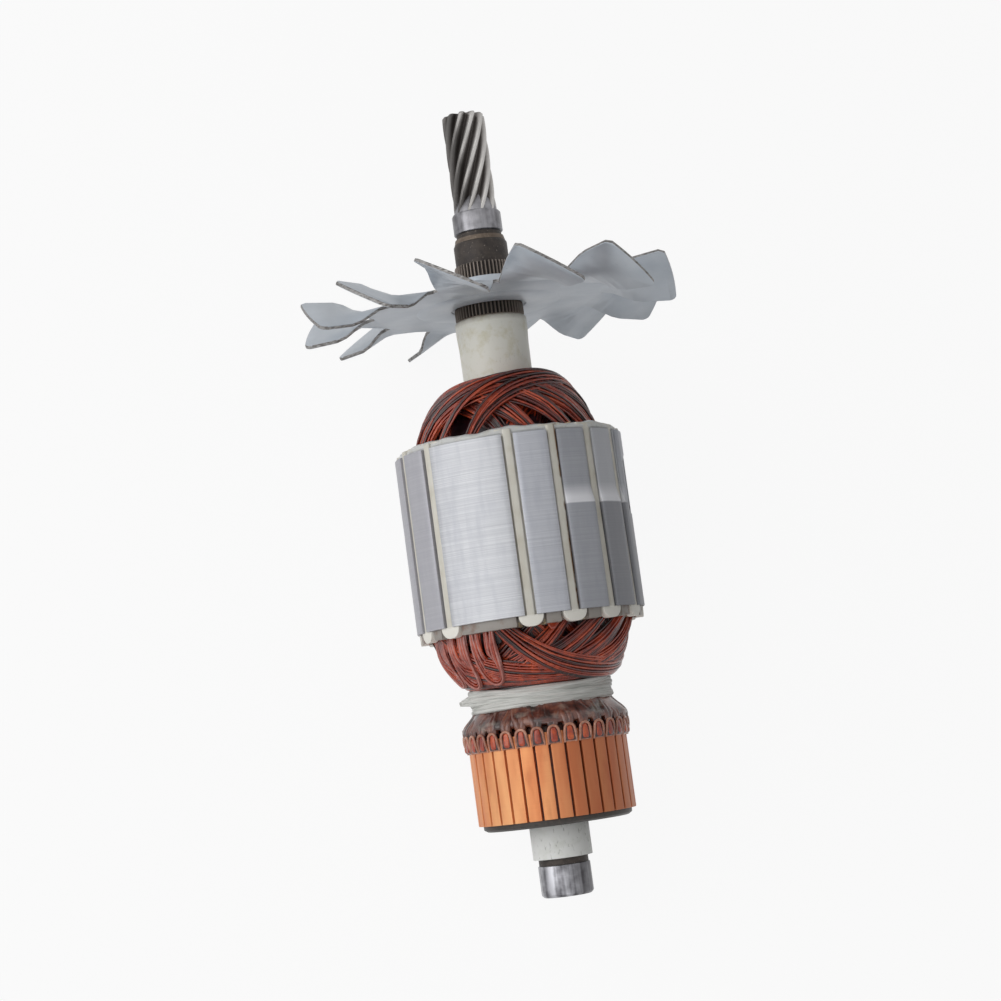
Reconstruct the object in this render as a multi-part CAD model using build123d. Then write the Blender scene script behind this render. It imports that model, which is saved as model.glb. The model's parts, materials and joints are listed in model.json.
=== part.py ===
from build123d import *
from math import cos, hypot, radians, sin, sqrt, tan
import os

# Armature of a series motor, in millimetres. Every piece is drawn about the shaft's own axis:
# +Z runs from the commutator-end face of the shaft to the pinion, and angles about the shaft are
# counted from -Y towards +X. At the end the whole armature is laid down as it comes to rest.

# Shaft: stations are distances from the commutator-end face
journal_radius = 6.0
journal_length = 7.2
journal_chamfer = 0.5
undercut_radius = 5.7
undercut_length = 1.5
shaft_body_radius = 6.2
centre_radius = 1.3
centre_tip_radius = 0.4
centre_depth = 1.6
lower_knurl_start = 134.4
lower_knurl_radius = 7.9
lower_knurl_depth = 0.45
lower_knurl_teeth = 32
fan_shoulder = 137.6
upper_knurl_end = 147.7
upper_knurl_radius = 6.65
upper_knurl_depth = 0.35
upper_knurl_teeth = 28
collar_land_radius = 6.16
collar_land_length = 4.4
relief_chamfer_length = 2.0
relief_radius = 5.5
relief_length = 1.1
bearing_seat_radius = 5.75
bearing_seat_length = 4.5

# Helical pinion cut on the end of the shaft
pinion_teeth = 10
pinion_tip_radius = 5.04
pinion_root_radius = 3.4
pinion_length = 24.1
pinion_end_chamfer = 0.6
pinion_runout_length = 3.6
pinion_first_cut = 0.03
pinion_twist_per_mm = 4.7
pinion_tip_half_angle = 4.2
pinion_root_half_angle = 13.0
pinion_runout_steps = 3
pinion_steps = 7

# Insulating sleeves on the shaft
drive_sleeve_radius = 8.2
commutator_sleeve_radius = 6.85
commutator_sleeve_length = 7.8
bore_flat_count = 24

# Commutator
commutator_bars = 32
commutator_gap_angle = -1.0
bar_gap = 0.6
bar_outer_radius = 18.2
bar_depth = 4.6
brush_track_length = 16.4
end_ring_recess = 1.1
end_ring_thickness = 1.5
rib_recess = 1.2
hook_zone_length = 4.6
hook_neck_recess = 0.9
hook_rise = 1.1
hook_thickness = 0.9
hook_width = 2.2
hook_web_thickness = 0.9
hook_tip_clearance = 0.4

# Leads between commutator and coils, and the cord lashed round them
lead_root_recess = 0.2
lead_top_radius = 15.3
lead_height = 0.9
lead_slope_length = 4.0
lashing_thickness = 1.3
lashing_groove = 0.35
lashing_turns = 3
lashing_length = 4.9

# Toothed core
core_radius = 26.5
core_start = 63.2
core_length = 40.6
slot_pitch = 22.5
slot_count = 15
slot_bottom_radius = 13.5
tooth_width = 3.3
tooth_lip_thickness = 1.4
slot_opening = 2.6
end_plate_recess = 0.8
end_plate_commutator = 2.2
end_plate_drive = 1.8

# Slot liners and slot wedges
liner_thickness = 0.3
wedge_width = 5.4
wedge_thickness = 1.6
wedge_rib_recess = 0.3
wedge_overhang_commutator = 2.3
wedge_overhang_drive = 1.2
wedge_corner = 1.9

# Balance milling on the drive-end side of the core
mill_start_angle = 22.5
mill_end_angle = 72.0
mill_depth = 0.7
mill_edge = 90.2
mill_ramp_length = 3.4
scoop_angle = 84.0
scoop_station = 91.5
scoop_depth = 1.3
scoop_cutter_radius = 20.0

# Coil heads
head_level_count = 4
head_gap_angle = 0.6
head_valley_share = 0.93
drive_head_length = 14.6
drive_head_drop = 2.8
drive_head_top_radius = 9.3
drive_head_power = 0.8
drive_head_lean = 55.0
commutator_head_drop = 2.1
commutator_head_end_radius = 17.4
commutator_head_power = 1.8
commutator_head_lean = 42.0
bar_bite = 0.8

# Fan: one stamped sheet
blade_count = 12
sheet = 0.85
fan_tip_radius = 43.9
fan_plate_apothem = 26.2
blade_phase = 19.9
blade_root_half_width = 6.35
blade_tip_half_width = 9.05
blade_bend_length = 9.5
blade_bend_steps = 4
blade_tip_pitch = 30.5
leading_corner = 1.2
trailing_corner_radius = 1.7
fan_collar_height = 6.2
fan_collar_bend = 1.95

# Rest: the armature lies on this blade and the next, counted from the blade at blade_phase
rest_blade_number = 5
rest_trial_count = 600
rim_share = 0.9
rim_sample_count = 8

# How far cutting shapes reach past what they cut
cut_reach = 1.0

# Derived stations
commutator_sleeve_start = journal_length + undercut_length
end_ring_start = commutator_sleeve_start + commutator_sleeve_length
bar_start = end_ring_start + end_ring_thickness
hook_start = bar_start + brush_track_length
bar_end = hook_start + hook_zone_length
lashing_start = bar_end + lead_slope_length
lashing_end = lashing_start + lashing_length
core_end = core_start + core_length
plate_start = core_start - end_plate_commutator
plate_end = core_end + end_plate_drive
collar_land_end = upper_knurl_end + collar_land_length
relief_start = collar_land_end + relief_chamfer_length
bearing_seat_start = relief_start + relief_length
pinion_start = bearing_seat_start + bearing_seat_length
shaft_end = pinion_start + pinion_length
fan_mid = fan_shoulder + sheet / 2
fan_bore_radius = upper_knurl_radius
fan_mouth_radius = fan_bore_radius + fan_collar_bend
bar_pitch = 360 / commutator_bars
bar_seat_radius = bar_outer_radius - bar_depth
end_ring_radius = bar_outer_radius - end_ring_recess
hook_neck_radius = bar_outer_radius - hook_neck_recess
hook_outer_radius = bar_outer_radius + hook_rise
lead_root_radius = bar_outer_radius - lead_root_recess
lashing_outer_radius = lead_top_radius + lashing_thickness
tooth_lip_radius = core_radius - tooth_lip_thickness
end_plate_radius = core_radius - end_plate_recess
wedge_inner_radius = tooth_lip_radius - wedge_thickness
wedge_rib_radius = core_radius - wedge_rib_recess
drive_head_radius = tooth_lip_radius - drive_head_drop
commutator_head_radius = tooth_lip_radius - commutator_head_drop
blade_pitch = 360 / blade_count


def around(angle):
    """Turn that carries the +X side of a drawing to an angle about the shaft."""
    return Rot(0, 0, angle - 90)


def turned(points):
    """Solid of revolution from (radius, station) points."""
    profile = make_face(Polyline([(r, 0, s) for r, s in points], close=True))
    return revolve(profile, Axis.Z, 360)


def prism(points, start, length):
    """Straight extrusion of a flat outline from one station."""
    face = make_face(Polyline([(x, y, start) for x, y in points], close=True))
    return extrude(face, length, dir=(0, 0, 1))


def bore(radius, start, length):
    """Hole with flats that grip the round piece inside it."""
    hole = RegularPolygon(radius, bore_flat_count, major_radius=False)
    return Pos(0, 0, start) * extrude(hole, length)


def radial_slab(points, width):
    """Slab of an outline in (radius, station), as wide as given across the radius."""
    face = make_face(Polyline([(r, 0, s) for r, s in points], close=True))
    return extrude(face, width / 2, dir=(0, 1, 0), both=True)


def star(teeth, tip_radius, root_radius):
    """Outline of a straight knurl."""
    points = []
    for k in range(teeth):
        tip = radians(360 * k / teeth)
        root = radians(360 * (k + 0.5) / teeth)
        points.append((tip_radius * cos(tip), tip_radius * sin(tip)))
        points.append((root_radius * cos(root), root_radius * sin(root)))
    return points


def ring_points(radii, angles, station):
    """Points of one cross-section, by radius and angle about the shaft."""
    section = []
    for radius, angle in zip(radii, angles):
        turn = radians(angle - 90)
        section.append(Vector(radius * cos(turn), radius * sin(turn), station))
    return section


def triangle(a, b, c):
    return Face(Wire.make_polygon([a, b, c], close=True))


def faceted(sections):
    """Closed solid through a row of cross-sections, with flat facets between them.

    Each four-cornered patch is folded from its outer corner below to its inner corner above, so
    two neighbours that share a side have the same fold there.
    """
    faces = []
    for low, high in zip(sections, sections[1:]):
        for i in range(len(low)):
            j = (i + 1) % len(low)
            if hypot(low[i].X, low[i].Y) >= hypot(low[j].X, low[j].Y):
                faces.append(triangle(low[i], low[j], high[j]))
                faces.append(triangle(low[i], high[j], high[i]))
            else:
                faces.append(triangle(low[j], low[i], high[i]))
                faces.append(triangle(low[j], high[i], high[j]))
    faces.append(Face(Wire.make_polygon(sections[0], close=True)))
    faces.append(Face(Wire.make_polygon(sections[-1], close=True)))
    return Solid(Shell(faces))


def pinion_section(height, tip_radius, root_radius):
    """Toothed section at a height above the bearing seat, turned along the helix."""
    tooth = [
        (root_radius, -pinion_root_half_angle),
        (tip_radius, -pinion_tip_half_angle),
        (tip_radius, pinion_tip_half_angle),
        (root_radius, pinion_root_half_angle),
    ]
    radii = []
    angles = []
    for k in range(pinion_teeth):
        for radius, angle in tooth:
            radii.append(radius)
            angles.append(360 * k / pinion_teeth + angle + pinion_twist_per_mm * height)
    return ring_points(radii, angles, pinion_start + height)


def make_pinion():
    """Right-hand helical teeth: grooves that rise out of the run-out, and a chamfered end."""
    depth = pinion_tip_radius - pinion_root_radius
    sections = []
    for k in range(pinion_runout_steps):
        share = k / pinion_runout_steps
        root = pinion_tip_radius - max(depth * sin(radians(90 * share)), pinion_first_cut)
        sections.append(pinion_section(pinion_runout_length * share, pinion_tip_radius, root))
    full = pinion_length - pinion_end_chamfer - pinion_runout_length
    for k in range(pinion_steps + 1):
        height = pinion_runout_length + full * k / pinion_steps
        sections.append(pinion_section(height, pinion_tip_radius, pinion_root_radius))
    end_radius = pinion_tip_radius - pinion_end_chamfer
    sections.append(pinion_section(pinion_length, end_radius, pinion_root_radius))
    centre = turned([
        (0, shaft_end - centre_depth),
        (centre_tip_radius, shaft_end - centre_depth),
        (centre_radius, shaft_end),
        (0, shaft_end),
    ])
    return faceted(sections) - centre


def make_shaft():
    """Turned shaft with two knurls and the helical pinion."""
    lower_root = lower_knurl_radius - lower_knurl_depth
    upper_root = upper_knurl_radius - upper_knurl_depth
    body = turned([
        (0, centre_depth),
        (centre_tip_radius, centre_depth),
        (centre_radius, 0),
        (journal_radius - journal_chamfer, 0),
        (journal_radius, journal_chamfer),
        (journal_radius, journal_length),
        (undercut_radius, journal_length),
        (undercut_radius, commutator_sleeve_start),
        (shaft_body_radius, commutator_sleeve_start),
        (shaft_body_radius, lower_knurl_start),
        (lower_root, lower_knurl_start),
        (lower_root, fan_shoulder),
        (upper_root, fan_shoulder),
        (upper_root, upper_knurl_end),
        (collar_land_radius, upper_knurl_end),
        (collar_land_radius, collar_land_end),
        (relief_radius, relief_start),
        (relief_radius, bearing_seat_start),
        (bearing_seat_radius, bearing_seat_start),
        (bearing_seat_radius, pinion_start),
        (0, pinion_start),
    ])
    lower_star = star(lower_knurl_teeth, lower_knurl_radius, lower_root)
    upper_star = star(upper_knurl_teeth, upper_knurl_radius, upper_root)
    body += prism(lower_star, lower_knurl_start, fan_shoulder - lower_knurl_start)
    body += prism(upper_star, fan_shoulder, upper_knurl_end - fan_shoulder)
    return body + make_pinion()


def make_drive_sleeve():
    """Sleeve under the core, from the commutator to the lower knurl."""
    length = lower_knurl_start - bar_end
    sleeve = Pos(0, 0, bar_end) * extrude(Circle(drive_sleeve_radius), length)
    return sleeve - bore(shaft_body_radius, bar_end, length)


def make_commutator_sleeve():
    """Short sleeve between the journal and the commutator."""
    tube = extrude(Circle(commutator_sleeve_radius), commutator_sleeve_length)
    tube = Pos(0, 0, commutator_sleeve_start) * tube
    return tube - bore(shaft_body_radius, commutator_sleeve_start, commutator_sleeve_length)


def flats(apothem, station):
    """Outline with one flat under each commutator bar."""
    half = radians(bar_pitch / 2)
    radius = apothem / cos(half)
    points = []
    for angle in gap_angles():
        turn = radians(angle - 90)
        points.append((radius * cos(turn), radius * sin(turn), station))
    return make_face(Polyline(points, close=True))


def gap_slab(outline):
    """Gap between two neighbouring bars, by its outline in (radius, station)."""
    return radial_slab(outline, bar_gap)


def gap_angles():
    return [commutator_gap_angle + bar_pitch * k for k in range(commutator_bars)]


def make_commutator_moulding():
    """Hub with a flat under each bar, end ring, and the recessed ribs between the bars."""
    ring = Pos(0, 0, end_ring_start) * extrude(Circle(end_ring_radius), end_ring_thickness)
    hub = extrude(flats(bar_seat_radius, bar_start), bar_end - bar_start)
    body = ring + hub - bore(shaft_body_radius, end_ring_start, bar_end - end_ring_start)
    rib_radius = bar_outer_radius - rib_recess
    foot = bar_seat_radius - bar_gap
    rib = gap_slab([(foot, bar_start), (rib_radius, bar_start), (rib_radius, bar_end), (foot, bar_end)])
    return body + [around(a) * rib for a in gap_angles()]


def make_bars():
    """Copper ring sawn into bars, each with its hook bent back over the wires."""
    track = Pos(0, 0, bar_start) * extrude(Circle(bar_outer_radius), brush_track_length)
    neck = extrude(flats(hook_neck_radius, hook_start), hook_zone_length)
    ring = track + neck - extrude(flats(bar_seat_radius, bar_start), bar_end - bar_start)
    saw = gap_slab([
        (bar_seat_radius - cut_reach, bar_start - cut_reach),
        (bar_outer_radius + cut_reach, bar_start - cut_reach),
        (bar_outer_radius + cut_reach, bar_end + cut_reach),
        (bar_seat_radius - cut_reach, bar_end + cut_reach),
    ])
    ring -= [around(a) * saw for a in gap_angles()]
    root = hook_neck_radius - hook_thickness
    inside = hook_outer_radius - hook_thickness
    hook = radial_slab([
        (root, bar_end - hook_web_thickness),
        (inside, bar_end - hook_web_thickness),
        (inside, hook_start + hook_tip_clearance),
        (hook_outer_radius, hook_start + hook_tip_clearance),
        (hook_outer_radius, bar_end),
        (root, bar_end),
    ], hook_width)
    bars = []
    for angle in gap_angles():
        middle = angle + bar_pitch / 2
        seat = Pos((bar_seat_radius + bar_outer_radius) / 2, 0, bar_start + brush_track_length / 2)
        point = (around(middle) * seat).position
        sector = min(ring.solids(), key=lambda s: (s.center() - point).length)
        bars.append(Part() + sector + around(middle) * hook)
    return bars


def make_leads():
    """Varnished leads that fan out from the lashing down to the hooks, one ridge over each bar."""
    sections = []
    for valley, station in [(lead_root_radius, bar_end), (lead_top_radius, lashing_start)]:
        radii = [valley, valley + lead_height] * commutator_bars
        angles = [commutator_gap_angle + bar_pitch * k / 2 for k in range(2 * commutator_bars)]
        sections.append(ring_points(radii, angles, station))
    neck = extrude(flats(lead_top_radius, lashing_start), lashing_length)
    return faceted(sections) + neck - bore(drive_sleeve_radius, bar_end, lashing_end - bar_end)


def make_lashing():
    """Turns of cord pulled tight round the leads, so that they lie in short straight runs."""
    turn = lashing_length / lashing_turns
    valley = lashing_outer_radius - lashing_groove
    bead = []
    for k in range(lashing_turns):
        low = lashing_start + k * turn
        bead.append(flats(valley, low))
        bead.append(flats(lashing_outer_radius, low + turn / 2))
    bead.append(flats(valley, lashing_end))
    return loft(bead, ruled=True) - extrude(flats(lead_top_radius, lashing_start), lashing_length)


def slot_angles():
    """Slots at even pitch; the last place is left solid, as one tooth of double width."""
    return [slot_pitch * k for k in range(slot_count)]


def slot_half_width(radius):
    """Half the width of a slot whose teeth have parallel sides."""
    return radius * tan(radians(slot_pitch / 2)) - tooth_width / 2


def slot_outline(outer):
    """Slot with lips at its opening."""
    low = slot_half_width(slot_bottom_radius)
    high = slot_half_width(tooth_lip_radius)
    half = [
        (slot_bottom_radius, low),
        (tooth_lip_radius, high),
        (tooth_lip_radius, slot_opening / 2),
        (outer, slot_opening / 2),
    ]
    return half + [(x, -y) for x, y in reversed(half)]


def open_slot_outline(outer):
    """Slot without lips, as the end plates have it."""
    half = [(slot_bottom_radius, slot_half_width(slot_bottom_radius)), (outer, slot_half_width(outer))]
    return half + [(x, -y) for x, y in reversed(half)]


def milling():
    """Metal taken off for balance: a stepped run with a ramp, and one scoop."""
    outer = core_radius + cut_reach
    floor = core_radius - mill_depth
    profile = make_face(Polyline([
        (floor, 0, mill_edge),
        (outer, 0, mill_edge - mill_ramp_length * (1 + cut_reach / mill_depth)),
        (outer, 0, plate_end + cut_reach),
        (floor, 0, plate_end + cut_reach),
    ], close=True))
    run = revolve(profile, Axis.Z, mill_end_angle - mill_start_angle)
    run = around(mill_start_angle) * run
    cutter_centre = core_radius - scoop_depth + scoop_cutter_radius
    cutter = Pos(cutter_centre, 0, scoop_station) * Rot(90, 0, 0)
    cutter *= Cylinder(scoop_cutter_radius, 2 * tooth_width)
    return run + around(scoop_angle) * cutter


def make_core():
    """Stack of laminations, slotted and balance milled."""
    core = Pos(0, 0, core_start) * extrude(Circle(core_radius), core_length)
    core -= bore(drive_sleeve_radius, core_start, core_length)
    slot = prism(slot_outline(core_radius + cut_reach), core_start, core_length)
    core -= [around(a) * slot for a in slot_angles()]
    return core - milling()


def make_end_plate(start, thickness):
    """Toothed insulating plate on one face of the core."""
    plate = Pos(0, 0, start) * extrude(Circle(end_plate_radius), thickness)
    plate -= bore(drive_sleeve_radius, start, thickness)
    slot = prism(open_slot_outline(end_plate_radius + cut_reach), start, thickness)
    return plate - [around(a) * slot for a in slot_angles()]


def liner_outline(inset):
    """Sides and bottom of a slot, moved in by the inset and open towards the wedge."""
    slant = inset / cos(radians(slot_pitch / 2))
    low = slot_bottom_radius + inset
    return [
        (low, slot_half_width(low) - slant),
        (wedge_inner_radius, slot_half_width(wedge_inner_radius) - slant),
        (wedge_inner_radius, slant - slot_half_width(wedge_inner_radius)),
        (low, slant - slot_half_width(low)),
    ]


def make_liners():
    """One folded channel in each slot."""
    length = plate_end - plate_start
    channel = prism(liner_outline(0), plate_start, length) - prism(
        liner_outline(liner_thickness), plate_start, length
    )
    return Part() + [around(a) * channel for a in slot_angles()]


def make_wedges():
    """Strips that close the slots: a flat foot under the lips and a rib in the opening."""
    start = core_start - wedge_overhang_commutator
    end = core_end + wedge_overhang_drive
    half = wedge_width / 2
    corner = wedge_corner
    foot_face = make_face(Polyline([
        (wedge_inner_radius, half - corner, start),
        (wedge_inner_radius, half, start + corner),
        (wedge_inner_radius, half, end - corner),
        (wedge_inner_radius, half - corner, end),
        (wedge_inner_radius, corner - half, end),
        (wedge_inner_radius, -half, end - corner),
        (wedge_inner_radius, -half, start + corner),
        (wedge_inner_radius, corner - half, start),
    ], close=True))
    foot = extrude(foot_face, tooth_lip_radius - wedge_inner_radius, dir=(1, 0, 0))
    rib = radial_slab([
        (wedge_inner_radius, core_start),
        (wedge_rib_radius, core_start),
        (wedge_rib_radius, core_end),
        (wedge_inner_radius, core_end),
    ], slot_opening)
    wedge = foot + rib
    return (Part() + [around(a) * wedge for a in slot_angles()]) - milling()


def make_head(left, right, start, end, outer_radius, lean):
    """One leaning bundle between two angles; outer_radius gives its crown along the head."""
    sections = []
    step_lean = lean / (head_level_count - 1)
    half = (right - left - head_gap_angle) / 2
    widest = 3 * slot_pitch / 4
    inner = drive_sleeve_radius / cos(radians((widest + step_lean) / 2))
    for k in range(head_level_count):
        share = k / (head_level_count - 1)
        middle = (left + right) / 2 + lean * share
        crown = outer_radius(share)
        valley = max(inner, crown * head_valley_share)
        radii = [inner, valley, crown, crown, valley, inner, inner]
        angles = [-half, -half, -half / 2, half / 2, half, half, 0]
        station = start + (end - start) * share
        sections.append(ring_points(radii, [middle + a for a in angles], station))
    return faceted(sections)


def drive_crown(share):
    span = drive_head_radius - drive_head_top_radius
    return drive_head_top_radius + span * (1 - share) ** drive_head_power


def commutator_crown(share):
    span = commutator_head_radius - commutator_head_end_radius
    return commutator_head_radius - span * share ** commutator_head_power


def make_coils():
    """One coil for each slot: a straight side in the slot and a bundle beyond each end plate."""
    angles = slot_angles()
    length = plate_end - plate_start + 2 * bar_bite
    side = prism(liner_outline(liner_thickness), plate_start - bar_bite, length)
    coils = []
    for k, angle in enumerate(angles):
        before = angles[k - 1] - 360 * (k == 0)
        after = angles[(k + 1) % slot_count] + 360 * (k == slot_count - 1)
        left = (before + angle) / 2
        right = (angle + after) / 2
        upper = make_head(
            left, right, plate_end, plate_end + drive_head_length, drive_crown, drive_head_lean
        )
        lower = make_head(
            left, right, plate_start, lashing_end, commutator_crown, commutator_head_lean
        )
        coils.append(around(angle) * side + upper + lower)
    return coils


def blade_half_width(distance):
    growth = (blade_tip_half_width - blade_root_half_width) / (fan_tip_radius - fan_plate_apothem)
    return blade_root_half_width + growth * (distance - fan_plate_apothem)


def blade_section(share):
    """Section across the bend of a blade: six points, turned about the blade's middle line."""
    distance = fan_plate_apothem + blade_bend_length * share
    pitch = radians(blade_tip_pitch * share * share * (3 - 2 * share))
    half = blade_half_width(distance)
    section = []
    for side, rise in [(-1, -1), (0, -1), (1, -1), (1, 1), (0, 1), (-1, 1)]:
        across = side * half
        lift = rise * sheet / 2
        y = across * cos(pitch) + lift * sin(pitch)
        z = lift * cos(pitch) - across * sin(pitch)
        section.append(Vector(distance, y, fan_mid + z))
    return section


def make_blade():
    """Blade on the +X side: it leaves the flat plate along a fold and twists to its full pitch."""
    bend = faceted([blade_section(k / blade_bend_steps) for k in range(blade_bend_steps + 1)])
    start = fan_plate_apothem + blade_bend_length
    corner_angle = radians(blade_tip_pitch)
    corner = sqrt(fan_tip_radius ** 2 - (blade_tip_half_width * cos(corner_angle)) ** 2)
    near = blade_half_width(start)
    outline = make_face([
        Line((start, -near), (corner, -blade_tip_half_width)),
        ThreePointArc((corner, -blade_tip_half_width), (fan_tip_radius, 0), (corner, blade_tip_half_width)),
        Line((corner, blade_tip_half_width), (start, near)),
        Line((start, near), (start, -near)),
    ])
    outline = chamfer(outline.vertices().sort_by(Axis.Y)[0], leading_corner)
    outline = fillet(outline.vertices().sort_by(Axis.Y)[-1], trailing_corner_radius)
    flat = extrude(outline, sheet / 2, both=True)
    return bend + Pos(0, 0, fan_mid) * Rot(-blade_tip_pitch, 0, 0) * flat


def make_fan():
    """Stamped plate with its drawn collar and twisted blades."""
    plate_radius = fan_plate_apothem / cos(radians(blade_pitch / 2))
    plate = extrude(RegularPolygon(plate_radius, blade_count, rotation=blade_pitch / 2), sheet)
    plate = Pos(0, 0, fan_shoulder) * (plate - extrude(Circle(fan_mouth_radius), sheet))
    bend_end = fan_shoulder + fan_collar_bend
    top = fan_shoulder + fan_collar_height
    outside = fan_bore_radius + sheet
    collar = turned([
        (fan_mouth_radius, fan_shoulder),
        (fan_bore_radius, bend_end),
        (fan_bore_radius, top),
        (outside, top),
        (outside, bend_end),
        (fan_mouth_radius, fan_shoulder + sheet),
    ])
    blade = make_blade()
    blades = [around(blade_phase + blade_pitch * k) * blade for k in range(blade_count)]
    return around(blade_phase) * plate + blades + collar, blade


def rest_attitude(blade):
    """Tilt of the shaft and lowest side at rest on the commutator's edge and two blades.

    For a trial lowest side, the blade point that needs the steepest shaft carries the fan. The
    armature rolls to the side between the two blades where that slope is least.
    """
    rim = []
    for edge in blade.edges():
        for k in range(rim_sample_count + 1):
            p = edge.position_at(k / rim_sample_count)
            radius = hypot(p.X, p.Y)
            if radius > rim_share * fan_tip_radius:
                rim.append((radius, Vector(p.X, p.Y).get_signed_angle(Vector(1, 0), Vector(0, 0, -1)), p.Z))

    def slope(side):
        steepest = 0.0
        for radius, angle, station in rim:
            for k in range(rest_blade_number - 1, rest_blade_number + 3):
                off = blade_phase + blade_pitch * k + angle - side
                rise = radius * cos(radians(off)) - bar_outer_radius
                steepest = max(steepest, rise / (station - bar_start))
        return steepest

    shares = [k / rest_trial_count for k in range(rest_trial_count + 1)]
    trials = [blade_phase + blade_pitch * (rest_blade_number + share) for share in shares]
    best = min(trials, key=slope)
    return slope(best), best


def main():
    os.makedirs("parts", exist_ok=True)
    fan, blade = make_fan()
    nodes = {
        "shaft": make_shaft(),
        "sleeve_drive_end": make_drive_sleeve(),
        "sleeve_commutator_end": make_commutator_sleeve(),
        "fan": fan,
        "lamination_stack": make_core(),
        "end_insulator_commutator": make_end_plate(plate_start, end_plate_commutator),
        "end_insulator_drive": make_end_plate(core_end, end_plate_drive),
        "slot_liners": make_liners(),
        "slot_wedges": make_wedges(),
        "commutator_moulding": make_commutator_moulding(),
        "commutator_leads": make_leads(),
        "lashing_cord": make_lashing(),
    }
    for k, coil in enumerate(make_coils()):
        nodes[f"coil_{k + 1:02d}"] = coil
    for k, bar in enumerate(make_bars()):
        nodes[f"commutator_bar_{k + 1:02d}"] = bar

    # Lay the armature down: pinion end up along +X, then the box centred over the origin
    slope, side = rest_attitude(blade)
    run = 1 / sqrt(1 + slope * slope)
    rise = slope * run
    height = bar_outer_radius * run - bar_start * rise
    lay = Plane(origin=(0, 0, height), x_dir=(rise, 0, -run), z_dir=(run, 0, rise)).location
    lay *= Rot(0, 0, 90 - side)
    laid = {name: lay * shape for name, shape in nodes.items()}
    box = Compound(children=[Compound(s.solids()) for s in laid.values()]).bounding_box()
    centre = Pos(-box.center().X, -box.center().Y, -box.min.Z)
    for name, shape in laid.items():
        export_step(centre * shape, f"parts/{name}.step")
    print(f"slope {slope:.5f} side {side:.3f} box {box.size}")


main()
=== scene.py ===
import json
from collections import namedtuple
from math import atan2, cos, pi, radians, sin
from random import Random

import bpy
from mathutils import Matrix, Vector


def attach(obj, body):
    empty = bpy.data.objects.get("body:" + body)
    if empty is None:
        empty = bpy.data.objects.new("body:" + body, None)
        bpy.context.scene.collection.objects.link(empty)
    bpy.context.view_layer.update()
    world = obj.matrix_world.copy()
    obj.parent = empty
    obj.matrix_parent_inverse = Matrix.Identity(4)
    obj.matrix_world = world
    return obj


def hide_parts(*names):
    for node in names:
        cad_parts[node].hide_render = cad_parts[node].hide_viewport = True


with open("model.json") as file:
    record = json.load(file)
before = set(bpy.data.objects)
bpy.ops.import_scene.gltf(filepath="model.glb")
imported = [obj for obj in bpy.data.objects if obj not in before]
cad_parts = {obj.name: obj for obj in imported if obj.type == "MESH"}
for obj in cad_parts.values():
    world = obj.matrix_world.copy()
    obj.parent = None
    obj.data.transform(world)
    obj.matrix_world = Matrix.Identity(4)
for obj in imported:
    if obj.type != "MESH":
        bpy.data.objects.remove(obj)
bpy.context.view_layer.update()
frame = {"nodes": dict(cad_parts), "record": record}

# Motor armature lying on its commutator and two fan blades, looked down on from above.
# Pieces are modelled about the shaft's own axis, in millimetres along it from the commutator-end
# face, with angles about it counted from -Y towards +X, and laid down as the frame lies.

MM = 0.001

# Where the frame lies: the shaft's axis through the journal, and the side that is lowest
JOURNAL = next(m for m in frame["record"]["mounts"] if m["name"] == "commutator_end_journal")
JOURNAL_STATION = 3.85
LOW_SIDE = 191.6

# Winding and commutator: counts, and angles in degrees
SLOT_COUNT = 15
SLOT_PITCH = 22.5
SLOTS = [SLOT_PITCH * k for k in range(SLOT_COUNT)]
COIL_THROW = 7
BAR_COUNT = 32
BAR_PITCH = 360 / BAR_COUNT
BAR_GAP_ANGLE = -1.0

# Core: its ends, where the balance milling stops, and the teeth that are milled
CORE_START = 63.2
CORE_END = 103.8
MILL_EDGE = 86.7
MILL_RAMP = 0.3
MILLED_TEETH = (45.0, 67.5)

ALONG = -Vector(JOURNAL["axis"])
ORIGIN = Vector(JOURNAL["pos_m"]) - ALONG * JOURNAL_STATION * MM
DOWN = Vector((ALONG.z, 0, -ALONG.x))
ACROSS = Vector((0, 1, 0))


def direction(angle):
    """Unit vector away from the shaft at an angle about it."""
    turn = radians(angle - LOW_SIDE)
    return DOWN * cos(turn) + ACROSS * sin(turn)


LAY = Matrix((direction(90), direction(180), ALONG)).transposed().to_4x4()
LAY.translation = ORIGIN
LAY @= Matrix.Scale(MM, 4)


def bar_middle(k):
    """Angle of the middle of a commutator bar."""
    return BAR_GAP_ANGLE + BAR_PITCH * (k + 0.5)


def at(radius, angle, station):
    """Point by radius, angle about the shaft and distance along it, in millimetres."""
    turn = radians(angle)
    return Vector((radius * sin(turn), -radius * cos(turn), station))


# Finishes


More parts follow.
